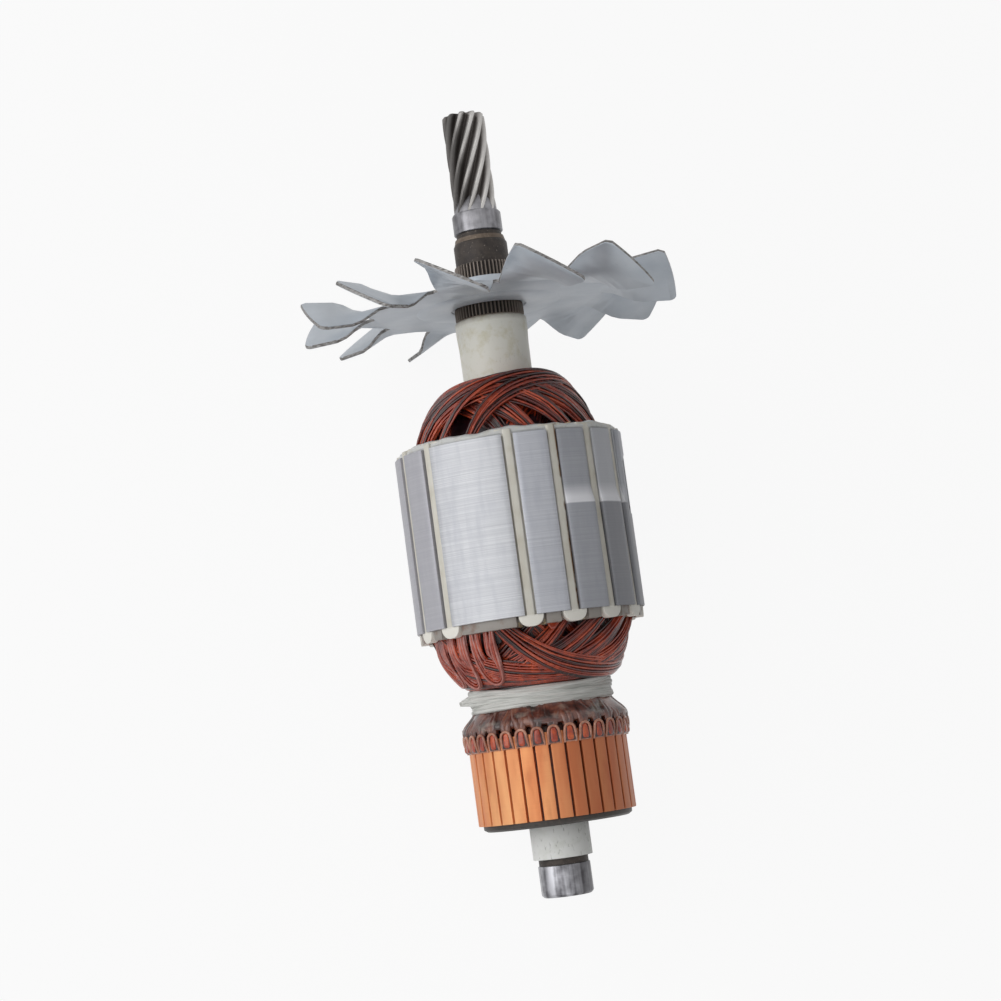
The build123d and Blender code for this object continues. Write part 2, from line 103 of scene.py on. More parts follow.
class Finish:
    """A node material, with patterns that run along and round the shaft."""

    def __init__(self, name):
        self.material = bpy.data.materials.new(name)
        self.material.use_nodes = True
        tree = self.material.node_tree
        self.nodes = tree.nodes
        self.links = tree.links
        self.shader = self.nodes["Principled BSDF"]
        self.mapped = None

    def put(self, socket, value):
        """Links a socket to another one, or gives it a value."""
        if isinstance(value, bpy.types.NodeSocket):
            self.links.new(value, socket)
        elif isinstance(value, (tuple, list)) and len(value) == 3 and socket.type == "RGBA":
            socket.default_value = (*value, 1)
        else:
            socket.default_value = value

    def node(self, kind, settings=None, **inputs):
        """New node; inputs are given by their names, with _ for a space."""
        new = self.nodes.new(kind)
        for key, value in (settings or {}).items():
            setattr(new, key, value)
        for key, value in inputs.items():
            self.put(new.inputs[key.replace("_", " ")], value)
        return new

    def reckon(self, operation, first, second=0.0):
        """Result of a sum with one or two numbers or sockets."""
        new = self.nodes.new("ShaderNodeMath")
        new.operation = operation
        self.put(new.inputs[0], first)
        self.put(new.inputs[1], second)
        return new.outputs[0]

    def product(self, first, second):
        return self.reckon("MULTIPLY", first, second)

    def total(self, first, second):
        return self.reckon("ADD", first, second)

    def along_shaft(self):
        """Position in the shaft's own frame, in millimetres."""
        if self.mapped is None:
            back = LAY.inverted()
            place = self.node("ShaderNodeTexCoord").outputs["Object"]
            self.mapped = self.node("ShaderNodeMapping", {"vector_type": "POINT"}, Vector=place)
            self.mapped.inputs["Location"].default_value = back.translation
            self.mapped.inputs["Rotation"].default_value = back.to_euler()
            self.mapped.inputs["Scale"].default_value = (1 / MM, 1 / MM, 1 / MM)
        return self.mapped.outputs[0]

    def stretched(self, x, y, z):
        """The same position, scaled to stretch a pattern."""
        scaled = self.node("ShaderNodeMapping", None, Vector=self.along_shaft())
        scaled.inputs["Scale"].default_value = (x, y, z)
        return scaled.outputs[0]

    def round_shaft(self):
        """Angle about the shaft, radius and station, as numbers."""
        parts = self.node("ShaderNodeSeparateXYZ", None, Vector=self.along_shaft())
        x, y, z = parts.outputs
        angle = self.reckon("ARCTAN2", x, self.product(y, -1.0))
        radius = self.reckon("SQRT", self.total(self.product(x, x), self.product(y, y)))
        return angle, radius, z

    def wrapped(self, per_angle, per_radius, per_station):
        """Position unrolled round the shaft, scaled for each direction."""
        angle, radius, station = self.round_shaft()
        return self.node(
            "ShaderNodeCombineXYZ",
            None,
            X=self.product(angle, per_angle),
            Y=self.product(radius, per_radius),
            Z=self.product(station, per_station),
        ).outputs[0]

    def noise(self, scale, detail=3.0, vector=None, roughness=0.5):
        """Cloudy pattern, in the shaft's frame unless another position is given."""
        return self.node(
            "ShaderNodeTexNoise",
            None,
            Vector=vector or self.along_shaft(),
            Scale=scale,
            Detail=detail,
            Roughness=roughness,
        ).outputs["Fac"]

    def ramp(self, fac, *stops):
        """Colour ramp of (position, colour) stops."""
        new = self.node("ShaderNodeValToRGB", None, Fac=fac)
        elements = new.color_ramp.elements
        while len(elements) < len(stops):
            elements.new(0.5)
        for element, (position, colour) in zip(elements, stops):
            element.position = position
            element.color = (*colour, 1)
        return new.outputs[0]

    def between(self, fac, low, high):
        """Fraction that runs from 0 at low to 1 at high, which may be the smaller number."""
        new = self.node("ShaderNodeMapRange", {"clamp": True}, Value=fac)
        new.inputs["From Min"].default_value = low
        new.inputs["From Max"].default_value = high
        return new.outputs[0]

    def sector(self, angle, start, full, full_end, end):
        """1 between two angles in degrees, and down to 0 just outside them."""
        rising = self.between(angle, radians(start), radians(full))
        return self.product(rising, self.between(angle, radians(end), radians(full_end)))

    def spread(self, fac, low, high):
        """Fraction turned into a value from low to high."""
        new = self.node("ShaderNodeMapRange", {"clamp": True}, Value=fac)
        new.inputs["To Min"].default_value = low
        new.inputs["To Max"].default_value = high
        return new.outputs[0]

    def mix(self, fac, first, second):
        """First colour where the fraction is 0, second where it is 1."""
        new = self.node("ShaderNodeMix", {"data_type": "RGBA"})
        self.put(new.inputs[0], fac)
        self.put(new.inputs[6], first)
        self.put(new.inputs[7], second)
        return new.outputs[2]

    def bump(self, height, strength, distance=0.0001):
        """Bumps of a height pattern, under any that were given before."""
        new = self.node("ShaderNodeBump", None, Strength=strength, Distance=distance, Height=height)
        normal = self.shader.inputs["Normal"]
        if normal.is_linked:
            self.links.new(normal.links[0].from_socket, new.inputs["Normal"])
        self.links.new(new.outputs[0], normal)

    def surface(self, **inputs):
        """Sets the shader's own inputs, and gives the finished material."""
        for key, value in inputs.items():
            self.put(self.shader.inputs[key.replace("_", " ")], value)
        return self.material


def srgb(code):
    """Linear colour from a hexadecimal screen colour."""
    levels = [int(code[i:i + 2], 16) / 255 for i in (0, 2, 4)]
    return tuple(c / 12.92 if c <= 0.04045 else ((c + 0.055) / 1.055) ** 2.4 for c in levels)


def lamination_finish():
    """Edges of thin turned sheets: fine lines across the shaft, smoother where milled, with painted shade
    on the teeth to each side of the front and a painted highlight on the milled run-out.
    """
    f = Finish("turned_laminations")
    angle, _, station = f.round_shaft()
    sheets = f.noise(1.0, 2.0, f.wrapped(0.8, 0.2, 6.5))
    drag = f.noise(1.0, 3.0, f.wrapped(16.0, 0.2, 0.12))
    patches = f.noise(0.1, 3.0)
    lines = f.ramp(sheets, (0.3, srgb("BBBCC0")), (0.5, srgb("CACBCE")), (0.7, srgb("D9DADC")))
    tone = f.mix(f.spread(f.between(drag, 0.45, 0.8), 0.0, 0.5), lines, srgb("A9ABB3"))
    tone = f.mix(f.spread(patches, 0.0, 0.35), tone, srgb("BFC3CE"))
    # Painted shade: teeth bluish and darker from about 0 degrees on, darker still from about 22 degrees,
    # and a little darker beyond about -45 degrees.
    tone = f.mix(f.spread(f.between(angle, radians(-4), radians(4)), 0.0, 0.3), tone, srgb("8F93A2"))
    tone = f.mix(f.spread(f.between(angle, radians(21), radians(24)), 0.0, 0.5), tone, srgb("74767C"))
    tone = f.mix(f.spread(f.between(angle, radians(-44), radians(-46)), 0.0, 0.6), tone, srgb("9C9AA2"))
    # Painted highlight: a bright band on the milled teeth just above the milling edge.
    ground = f.sector(angle, 21, 23, 71, 74)
    past_edge = f.between(station, MILL_EDGE, MILL_EDGE + MILL_RAMP)
    before_edge = f.between(station, MILL_EDGE + MILL_RAMP, MILL_EDGE)
    run_out_highlight = f.product(past_edge, f.between(station, 91.4, 88.2))
    tone = f.mix(f.product(ground, f.product(run_out_highlight, 0.85)), tone, srgb("E4E4E8"))
    # Painted shade: the far teeth darker below the milling edge.
    far = f.sector(angle, 44, 48, 98, 104)
    tone = f.mix(f.product(f.product(far, before_edge), 0.45), tone, srgb("4C4A4C"))
    upper = f.product(past_edge, far)
    tone = f.mix(f.product(ground, f.product(upper, 0.35)), tone, srgb("B9BABD"))
    f.bump(sheets, 0.35, 0.00005)
    return f.surface(Base_Color=tone, Metallic=0.25, Roughness=f.spread(sheets, 0.42, 0.6))


def fan_finish(edge=False):
    """Satin sheet with a few scuffs, darker on its sheared edges."""
    f = Finish("fan_edge" if edge else "fan_sheet")
    cloud = f.noise(0.12, 3.0)
    scuffs = f.noise(0.9, 5.0, f.stretched(1.0, 1.0, 3.0), roughness=0.65)
    if edge:
        tone = f.ramp(scuffs, (0.35, srgb("4E4845")), (0.65, srgb("A9A8A7")))
    else:
        tone = f.ramp(cloud, (0.3, srgb("B2BAC3")), (0.7, srgb("C6CCD3")))
        tone = f.mix(f.spread(f.between(scuffs, 0.62, 0.75), 0.0, 0.4), tone, srgb("8E969C"))
    f.bump(scuffs, 0.12, 0.00005)
    return f.surface(Base_Color=tone, Metallic=0.3, Roughness=f.spread(cloud, 0.38, 0.5))


def steel_finish(name, dark, light, roughness, rings, streaks, side_shade=0.0):
    """Turned steel, with fine rings round the shaft, painted reflection streaks along it and painted shade
    on one side.
    """
    f = Finish(name)
    round_lines = f.noise(1.0, 2.0, f.wrapped(0.5, 0.3, 4.0))
    # Painted reflection: light and dark streaks along the shaft.
    reflection_streaks = f.noise(1.0, 2.0, f.wrapped(4.0, 0.3, 0.03))
    angle, radius, _ = f.round_shaft()
    flank = f.between(radius, 4.6, 5.5)
    reflection_streaks = f.total(f.product(f.reckon("SUBTRACT", reflection_streaks, 0.5), flank), 0.5)
    stains = f.noise(0.35)
    blend = f.total(f.product(round_lines, rings), f.product(stains, 1 - rings - streaks))
    blend = f.total(blend, f.product(reflection_streaks, streaks))
    tone = f.ramp(blend, (0.38, srgb(dark)), (0.6, srgb(light)))
    # Painted shade darkens one side of the shaft.
    side = f.sector(angle, 8, 36, 120, 160)
    tone = f.mix(f.product(side, side_shade), tone, srgb("3C3A3C"))
    f.bump(round_lines, 0.05, 0.00003)
    return f.surface(Base_Color=tone, Metallic=0.8, Roughness=f.spread(stains, *roughness))


def worn_and_highlit_finish(name, root, tip, dark, bright, roughness=0.5, flank_shade=0.0):
    """Toothed steel: painted shade between the teeth, a painted highlight with some wear on their tips, and
    painted shade on one side.
    """
    f = Finish(name)
    angle, radius, _ = f.round_shaft()
    dirt = f.noise(1.3, 4.0, roughness=0.6)
    # Painted shade at the roots and a painted highlight on the tips, mixed with dirt.
    height = f.between(radius, root, tip)
    tip_highlight_and_wear = f.total(f.product(height, 0.7), f.product(dirt, 0.3))
    tone = f.ramp(tip_highlight_and_wear, (0.2, srgb(dark)), (0.85, srgb(bright)))
    # Painted shade darkens one side.
    flank_shade_sector = f.sector(angle, -150, -110, -26, 12)
    tone = f.mix(f.product(flank_shade_sector, flank_shade), tone, srgb("2E2A28"))
    f.bump(dirt, 0.2, 0.0001)
    return f.surface(Base_Color=tone, Metallic=0.6, Roughness=roughness)


def dark_finish(name, dark, light, speck):
    """Black oxide on steel, with small rubbed specks."""
    f = Finish(name)
    cloud = f.noise(0.5, 4.0, roughness=0.6)
    specks = f.noise(2.6, 3.0)
    tone = f.ramp(cloud, (0.35, srgb(dark)), (0.7, srgb(light)))
    tone = f.mix(f.between(specks, 0.66, 0.74), tone, srgb(speck))
    f.bump(specks, 0.25, 0.0001)
    return f.surface(Base_Color=tone, Metallic=0.5, Roughness=f.spread(cloud, 0.45, 0.65))


def plastic_finish(name, base, stain, marks, roughness):
    """Moulded insulation with a little staining, and grime where the ivory sleeve meets the fan."""
    f = Finish(name)
    cloud = f.noise(0.35, 4.0, roughness=0.6)
    spots = f.noise(1.6, 3.0, f.wrapped(7.0, 0.3, 0.5))
    tone = f.mix(f.between(cloud, 0.5, 0.8), srgb(base), srgb(stain))
    tone = f.mix(f.spread(f.between(spots, 0.62, 0.74), 0.0, marks), tone, srgb("77796C"))
    station = f.round_shaft()[2]
    grime = f.product(f.between(station, 132.9, 134.3), f.spread(cloud, 0.3, 0.9))
    tone = f.mix(grime, tone, srgb("6E5E4A"))
    f.bump(cloud, 0.15, 0.0002)
    return f.surface(Base_Color=tone, Roughness=f.spread(cloud, roughness - 0.08, roughness + 0.08))


def wedge_finish():
    """Cream fibre strip, brown down in the gaps beside its rib with dried varnish and painted shade."""
    f = Finish("slot_wedge")
    angle, radius, station = f.round_shaft()
    grain = f.noise(1.0, 2.0, f.wrapped(20.0, 0.5, 0.1))
    cloud = f.noise(0.22, 3.0)
    tone = f.ramp(grain, (0.3, srgb("D8D4C8")), (0.7, srgb("E3E0D6")))
    tone = f.mix(f.spread(f.between(cloud, 0.45, 0.75), 0.0, 0.5), tone, srgb("C0B8A4"))
    in_slot = f.between(station, CORE_START - 0.2, CORE_START + 0.2)
    tone = f.mix(f.between(station, CORE_START + 0.2, CORE_START - 0.2), tone, srgb("F2EFE6"))
    # Dried varnish and painted shade: near black to brown on the foot down in the gaps beside the rib.
    drips = f.noise(1.0, 3.0, f.wrapped(2.0, 0.2, 0.16))
    deep = f.product(f.between(radius, 25.25, 25.1), in_slot)
    deep = f.product(deep, f.between(station, CORE_END, CORE_END - 0.2))
    tone = f.mix(deep, tone, f.ramp(drips, (0.4, srgb("1C1613")), (0.6, srgb("5A3A1C"))))
    varnish = f.product(f.sector(angle, 23.6, 24.2, 26, 27), f.between(drips, 0.4, 0.52))
    past_edge = f.between(station, CORE_START - 0.2, CORE_START + 1.3)
    tone = f.mix(f.product(varnish, past_edge), tone, srgb("6A4218"))
    f.bump(grain, 0.1, 0.0001)
    return f.surface(Base_Color=tone, Roughness=0.5)


def enamel_finish(name, dark, mid, bright):
    """Varnished enamelled wire."""
    f = Finish(name)
    patches = f.noise(0.16, roughness=0.55)
    streaks = f.noise(1.1, 2.0)
    blend = f.total(f.product(patches, 0.7), f.product(streaks, 0.3))
    tone = f.ramp(blend, (0.36, srgb(dark)), (0.5, srgb(mid)), (0.62, srgb(bright)))
    f.bump(streaks, 0.15, 0.0001)
    return f.surface(
        Base_Color=tone, Roughness=f.spread(streaks, 0.22, 0.4), Coat_Weight=0.25, Coat_Roughness=0.12
    )


def lead_finish():
    """Brown varnish over the leads, gone pale in blobs."""
    f = Finish("lead_varnish")
    patches = f.noise(0.3, 4.0, roughness=0.6)
    blobs = f.noise(0.42, 3.0, f.wrapped(8.0, 0.2, 0.9))
    tone = f.ramp(patches, (0.38, srgb("28110B")), (0.5, srgb("5C2E22")), (0.64, srgb("84513D")))
    tone = f.mix(f.spread(f.between(blobs, 0.6, 0.72), 0.0, 0.45), tone, srgb("B4A89C"))
    f.bump(patches, 0.4, 0.0003)
    return f.surface(Base_Color=tone, Roughness=0.34, Coat_Weight=0.4, Coat_Roughness=0.15)


def copper_finish():
    """Turned copper, with painted shade on one side and a painted highlight beside it."""
    f = Finish("bar_copper")
    rings = f.noise(1.0, 3.0, f.wrapped(0.6, 0.3, 4.5))
    patches = f.noise(1.0, 2.0, f.wrapped(5.1, 0.1, 0.05))
    stains = f.noise(1.0, 3.0, f.wrapped(9.0, 0.3, 0.15))
    tone = f.ramp(patches, (0.35, srgb("DA8450")), (0.5, srgb("E69660")), (0.65, srgb("F0A86E")))
    tone = f.mix(f.spread(rings, 0.0, 0.2), tone, srgb("B8603A"))
    tone = f.mix(f.spread(f.between(stains, 0.55, 0.8), 0.0, 0.4), tone, srgb("A8532F"))
    angle = f.round_shaft()[0]
    # Painted shade darkens the bars on one side.
    shaded_bars = f.sector(angle, -16, 24, 130, 170)
    tone = f.mix(f.product(shaded_bars, 0.68), tone, srgb("8E4527"))
    # Painted highlight brightens the bars beside them.
    highlit_bars = f.sector(angle, -54, -46, -30, -20)
    tone = f.mix(f.product(highlit_bars, f.spread(patches, 0.1, 0.7)), tone, srgb("FFC48A"))
    f.bump(rings, 0.2, 0.00005)
    return f.surface(Base_Color=tone, Metallic=0.4, Roughness=f.spread(patches, 0.36, 0.5))


def cord_finish():
    """White cord with its fibres along the turns, and painted shade grey in its creases."""
    f = Finish("lashing_cord")
    fibres = f.noise(1.0, 3.0, f.wrapped(3.0, 2.0, 5.0))
    cloud = f.noise(0.3, 3.0)
    tone = f.ramp(fibres, (0.35, srgb("BFC0BB")), (0.65, srgb("E1E1DD")))
    tone = f.mix(f.spread(cloud, 0.0, 0.3), tone, srgb("CFD1CB"))
    # Painted shade: grey in the creases.
    crease_shade = f.noise(1.0, 2.0, f.wrapped(1.3, 0.5, 1.5))
    tone = f.mix(f.spread(f.between(crease_shade, 0.52, 0.68), 0.0, 0.6), tone, srgb("8E908A"))
    f.bump(fibres, 0.5, 0.0001)
    return f.surface(Base_Color=tone, Roughness=0.55, Sheen_Weight=0.2)


def moulding_finish():
    """Black end ring; the ribs between the bars are brown with copper dust."""
    f = Finish("black_moulding")
    grain = f.noise(1.2, 4.0, roughness=0.6)
    station = f.round_shaft()[2]
    tone = f.ramp(grain, (0.35, srgb("17130F")), (0.7, srgb("3A322C")))
    dust = f.ramp(grain, (0.35, srgb("2E0F05")), (0.7, srgb("5E2509")))
    tone = f.mix(f.between(station, 18.0, 18.3), tone, dust)
    f.bump(grain, 0.3, 0.0001)
    return f.surface(Base_Color=tone, Roughness=f.spread(grain, 0.4, 0.62))


FINISHES = {
    "laminations": lamination_finish(),
    "fan_sheet": fan_finish(),
    "fan_edge": fan_finish(edge=True),
    "journal_steel": steel_finish(
        "journal_steel", "49484C", "AFAFB4", (0.32, 0.42), rings=0.04, streaks=0.6, side_shade=0.65
    ),
    "seat_steel": steel_finish(
        "seat_steel", "5E5D60", "969599", (0.36, 0.5), rings=0.05, streaks=0.5
    ),
    "pinion_steel": worn_and_highlit_finish(
        "pinion_steel", 3.9, 5.02, "67625F", "C8C5C2", roughness=0.36, flank_shade=0.85
    ),
    "dark_steel": dark_finish("dark_steel", "2A2523", "453E39", "8A8078"),
    "rusted_steel": dark_finish("rusted_steel", "55493F", "7A6D60", "9C9082"),
    "upper_knurl": worn_and_highlit_finish("upper_knurl", 6.3, 6.68, "1D1917", "746B64"),
    "lower_knurl": worn_and_highlit_finish("lower_knurl", 7.5, 7.9, "151210", "5C544D"),
    "ivory_sleeve": plastic_finish("ivory_sleeve", "EFEDE2", "D8D2B6", marks=0.15, roughness=0.45),
    "pale_sleeve": plastic_finish("pale_sleeve", "F6F7F4", "E2E4DC", marks=0.45, roughness=0.55),
    "end_plate": plastic_finish("end_plate", "D6D7D5", "B8B3A8", marks=0.3, roughness=0.45),
    "rear_plate": plastic_finish("rear_plate", "96908A", "74503F", marks=0.3, roughness=0.45),
    "slot_paper": plastic_finish("slot_paper", "BFAE8C", "8E7350", marks=0.2, roughness=0.6),
    "slot_wedge": wedge_finish(),
    "winding": enamel_finish("winding", "6E1E0E", "A4391B", "C6552F"),
    "winding_pale": enamel_finish("winding_pale", "8E4238", "B0685C", "C48E86"),
    "winding_maroon": enamel_finish("winding_maroon", "2A0C0B", "571A14", "80301F"),
    "hook_copper": enamel_finish("hook_copper", "8A4F3A", "B0745A", "CE9A82"),
    "winding_dark": enamel_finish("winding_dark", "1C0A09", "37110D", "561E16"),
    # Near black enamel, used as painted shade under the coils and inside the hooks.
    "shade_fill_enamel": enamel_finish("shade_fill_enamel", "140A0E", "241017", "3E1A1C"),
    "lead_varnish": lead_finish(),
    "hook_wire": enamel_finish("hook_wire", "7A1C04", "B03A0A", "DC6622"),
    "lashing": cord_finish(),
    "moulding": moulding_finish(),
    "bar_copper": copper_finish(),
}


def finished(piece, *finishes):
    """Gives a piece its finishes, in place of those that it had."""
    piece.data.materials.clear()
    for finish in finishes:
        piece.data.materials.append(FINISHES[finish])
    return piece


# Pieces


def laid(piece, *nodes, slot):
    """Lays a piece down with the frame, and lets it stand for the frame's own."""
    piece.data.transform(LAY)
    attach(piece, "root")
    if nodes:
        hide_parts(*nodes)
    return piece


def settled(piece):
    """Applies a new primitive's place, so that its mesh is in the shaft's frame."""
    bpy.ops.object.transform_apply(location=True, rotation=True, scale=True)
    return piece


def picked(piece, test):
    """Opens a piece for editing with only the faces that pass the test selected."""
    bpy.ops.object.mode_set(mode="EDIT")
    bpy.ops.mesh.select_mode(type="FACE")
    bpy.ops.mesh.select_all(action="DESELECT")
    bpy.ops.object.mode_set(mode="OBJECT")
    for face in piece.data.polygons:
        face.select = test(face)
    bpy.ops.object.mode_set(mode="EDIT")


def softened(piece, width, segments=2, angle=35):
    """Small rounding on every edge, then smooth shading."""
    bpy.ops.object.select_all(action="DESELECT")
    piece.select_set(True)
    bpy.context.view_layer.objects.active = piece
    rounding = piece.modifiers.new("rounding", "BEVEL")
    rounding.width = width
    rounding.segments = segments
    rounding.limit_method = "ANGLE"
    rounding.angle_limit = radians(angle)
    bpy.ops.object.modifier_apply(modifier=rounding.name)
    bpy.ops.object.shade_smooth_by_angle(angle=radians(40))
    return piece


def joined(name, pieces):
    bpy.ops.object.select_all(action="DESELECT")
    for piece in pieces:
        piece.select_set(True)
    bpy.context.view_layer.objects.active = pieces[0]
    bpy.ops.object.join()
    whole = bpy.context.object
    whole.name = name
    return whole


def copied(piece, name, angle):
    """Copy with its own mesh, turned about the shaft."""
    twin = piece.copy()
    twin.data = piece.data.copy()
    twin.name = name
    bpy.context.scene.collection.objects.link(twin)
    twin.data.transform(Matrix.Rotation(radians(angle), 4, "Z"))
    return twin


def face_outwards():
    """Turns every face of the piece in edit mode outwards, and leaves that mode."""
    bpy.ops.mesh.select_all(action="SELECT")
    bpy.ops.mesh.normals_make_consistent(inside=False)
    bpy.ops.object.mode_set(mode="OBJECT")


def turned(name, profile, finish, segments=96, capped=True):
    """Circle carried from point to point of its profile, which ends where it began unless capped."""
    bpy.ops.object.select_all(action="DESELECT")
    radius, station = profile[0]
    bpy.ops.mesh.primitive_circle_add(vertices=segments, radius=radius, location=(0, 0, station))
    piece = settled(bpy.context.object)
    piece.name = name
    bpy.ops.object.mode_set(mode="EDIT")
    bpy.ops.mesh.select_all(action="SELECT")
    if capped:
        bpy.ops.mesh.edge_face_add()
    for (radius, station), (next_radius, next_station) in zip(profile, profile[1:]):
        bpy.ops.mesh.extrude_region_move(
            TRANSFORM_OT_translate={"value": (0, 0, next_station - station)}
        )
        grow = next_radius / radius
        bpy.ops.transform.resize(value=(grow, grow, 1), center_override=(0, 0, next_station))
    bpy.ops.mesh.select_all(action="SELECT")
    bpy.ops.mesh.remove_doubles(threshold=0.0005)
    face_outwards()
    piece.data.materials.append(FINISHES[finish])
    return piece


def toothed(name, shares, radii, start, rises, finish):
    """Toothed bar: a circle whose points are moved in to the tooth's outline, extruded and turned."""
    bpy.ops.object.select_all(action="DESELECT")
    count = len(shares)
    bpy.ops.mesh.primitive_circle_add(vertices=count, radius=1, location=(0, 0, start))
    piece = settled(bpy.context.object)
    piece.name = name
    for point, share, radius in zip(piece.data.vertices, shares, radii):
        point.co = (radius * cos(2 * pi * share), radius * sin(2 * pi * share), start)
    bpy.ops.object.mode_set(mode="EDIT")
    bpy.ops.mesh.select_all(action="SELECT")
    bpy.ops.mesh.edge_face_add()
    station = start
    for rise, turn, grow in rises:
        bpy.ops.mesh.extrude_region_move(TRANSFORM_OT_translate={"value": (0, 0, rise)})
        station += rise
        if turn:
            bpy.ops.transform.rotate(
                value=radians(-turn), orient_axis="Z", center_override=(0, 0, station)
            )
        if grow != 1:
            bpy.ops.transform.resize(value=(grow, grow, 1), center_override=(0, 0, station))
    face_outwards()
    piece.data.materials.append(FINISHES[finish])
    return piece


def knurl(name, teeth, tip, root, start, end):
    """Straight knurl between two stations, eased a little at both ends."""
    count = 4 * teeth
    shares = [k / count for k in range(count)]
    radii = [tip if k % 4 < 2 else root for k in range(count)]
    lead = 0.35
    rises = [(lead, 0, 1.02), (end - start - 2 * lead, 0, 1), (lead, 0, 0.98)]
    return toothed(name, shares, radii, start, rises, name)


def pinion():
    """Helical teeth with rounded tips and a chamfered end, and the cone that they run out into."""
    teeth = 10
    start = 160.0
    length = 23.2
    steps = 26
    twist = 5.2
    outline = [
        (-0.50, 3.42), (-0.42, 3.5), (-0.34, 3.85), (-0.26, 4.35), (-0.18, 4.8), (-0.10, 5.02),
        (0.0, 5.04), (0.10, 5.02), (0.18, 4.8), (0.26, 4.35), (0.34, 3.85), (0.42, 3.5),
    ]
    shares = [(k + place) / teeth for k in range(teeth) for place, _ in outline]
    radii = [radius for _ in range(teeth) for _, radius in outline]
    rise = length / steps
    rises = [(rise, twist * rise, 1)] * steps + [(0.5, 0.5 * twist, 0.9)]
    cut = toothed("pinion", shares, radii, start, rises, "pinion_steel")
    bpy.ops.object.shade_smooth_by_angle(angle=radians(38))
    runout = turned("runout", [
        (5.04, start), (4.9, start + 0.9), (4.4, start + 2.2), (3.4, start + 3.8),
    ], "seat_steel")
    bpy.ops.object.shade_smooth_by_angle(angle=radians(38))
    return [cut, runout]


def shaft():
    """Ground journal, dark body with two fine knurls, bearing seat and helical pinion."""
    journal = softened(turned("journal", [
        (0.4, 1.6), (1.3, 0.0), (5.4, 0.0), (6.0, 0.6), (6.0, 7.2), (5.7, 7.25),
    ], "journal_steel"), 0.15)
    undercut = turned("undercut", [(5.7, 7.2), (5.7, 8.7), (6.2, 8.72), (6.2, 9.4)], "dark_steel")
    body = softened(turned("body", [
        (6.2, 133.0), (7.45, 134.4), (7.45, 137.6), (6.2, 137.7), (6.2, 146.9), (6.3, 147.3),
        (6.3, 152.2), (5.95, 152.9), (5.5, 153.0),
    ], "dark_steel"), 0.12)
    ledge = turned("ledge", [(5.5, 152.8), (5.98, 152.85), (5.72, 153.9), (5.0, 153.95)], "rusted_steel")
    groove = turned("groove", [(5.3, 153.8), (5.3, 155.3)], "dark_steel")
    rust = turned("rust", [(6.3, 133.9), (7.75, 134.0), (7.9, 134.5), (7.3, 134.75)], "rusted_steel")
    seat = softened(turned("seat", [
        (5.4, 155.0), (5.75, 155.2), (5.75, 159.5), (5.45, 160.0), (3.0, 160.05),
    ], "seat_steel"), 0.1)
    teeth = pinion()
    lower = knurl("lower_knurl", 54, 7.9, 7.4, 134.5, 137.6)
    upper = knurl("upper_knurl", 46, 6.65, 6.2, 137.6, 147.4)
    pieces = [body, ledge, groove, rust, journal, undercut, seat, *teeth, lower, upper]
    laid(joined("shaft_turned", pieces), "shaft", slot="shaft_steel")


def sleeves():
    """Ivory tube under core and fan, and the short pale tube next to the journal."""
    drive = softened(turned("ivory_sleeve", [
        (6.3, 102.0), (8.12, 102.0), (8.1, 118.0), (8.18, 128.0), (8.4, 131.5), (8.4, 134.0),
        (8.0, 134.38), (6.3, 134.38), (6.3, 102.0),
    ], "ivory_sleeve", capped=False), 0.15)
    laid(drive, "sleeve_drive_end", slot="ivory_sleeve")
    rear = softened(turned("pale_sleeve", [
        (6.05, 8.75), (6.85, 8.75), (6.85, 16.5), (6.05, 16.5), (6.05, 8.75),
    ], "pale_sleeve", capped=False), 0.12)
    laid(rear, "sleeve_commutator_end", slot="pale_sleeve")


def merged_copy(node, name):
    """Copy of a frame piece with its loose triangles joined up."""
    source = frame["nodes"][node]
    bpy.ops.object.select_all(action="DESELECT")
    piece = source.copy()
    piece.data = source.data.copy()
    piece.name = name
    piece.parent = None
    bpy.context.scene.collection.objects.link(piece)
    piece.select_set(True)
    bpy.context.view_layer.objects.active = piece
    bpy.ops.object.mode_set(mode="EDIT")
    bpy.ops.mesh.select_all(action="SELECT")
    bpy.ops.mesh.remove_doubles(threshold=0.000002)
    bpy.ops.mesh.select_all(action="SELECT")
    bpy.ops.mesh.dissolve_limited(angle_limit=radians(0.5))
    bpy.ops.object.mode_set(mode="OBJECT")
    piece.data.transform(LAY.inverted())
    return piece


def uneven(piece, station, size):
    """Lets the free edge of a ring rise and fall a little."""
    for point in piece.data.vertices:
        if (point.co.z - station) * size > 0:
            turn = atan2(point.co.x, -point.co.y)
            wave = sin(7 * turn + 1) + 0.7 * sin(13 * turn + 2) + 0.5 * sin(29 * turn)
            point.co.z += 0.2 * wave * size


def core():
    """Slotted stack with its edges broken a little, and the pale rims on its faces."""
    stack = softened(merged_copy("lamination_stack", "laminations"), 0.1, 1, 50)
    laid(finished(stack, "laminations"), "lamination_stack", slot="laminations")
    drive = turned("drive_end_plate", [
        (8.3, CORE_END), (25.3, CORE_END), (25.5, 104.3), (25.1, 105.1), (23.9, 105.5), (20.5, 105.3),
        (17.0, 104.8), (8.3, 104.8), (8.3, CORE_END),
    ], "end_plate", segments=180, capped=False)
    uneven(drive, 104.4, 1)
    laid(softened(drive, 0.12, 1, 50), "end_insulator_drive", slot="end_plate")
    rear = softened(merged_copy("end_insulator_commutator", "commutator_end_plate"), 0.45, 3, 50)
    finished(rear, "rear_plate")
    rim = turned("rear_rim", [
        (17.0, CORE_START), (23.9, CORE_START), (23.9, 62.4), (23.2, 61.6), (20.5, 61.4), (17.0, 62.0),
        (17.0, CORE_START),
    ], "rear_plate", segments=180, capped=False)
    uneven(rim, 62.6, -1)
    softened(rim, 0.12, 1, 50)
    laid(joined("commutator_end_plate", [rear, rim]), "end_insulator_commutator", slot="end_plate")


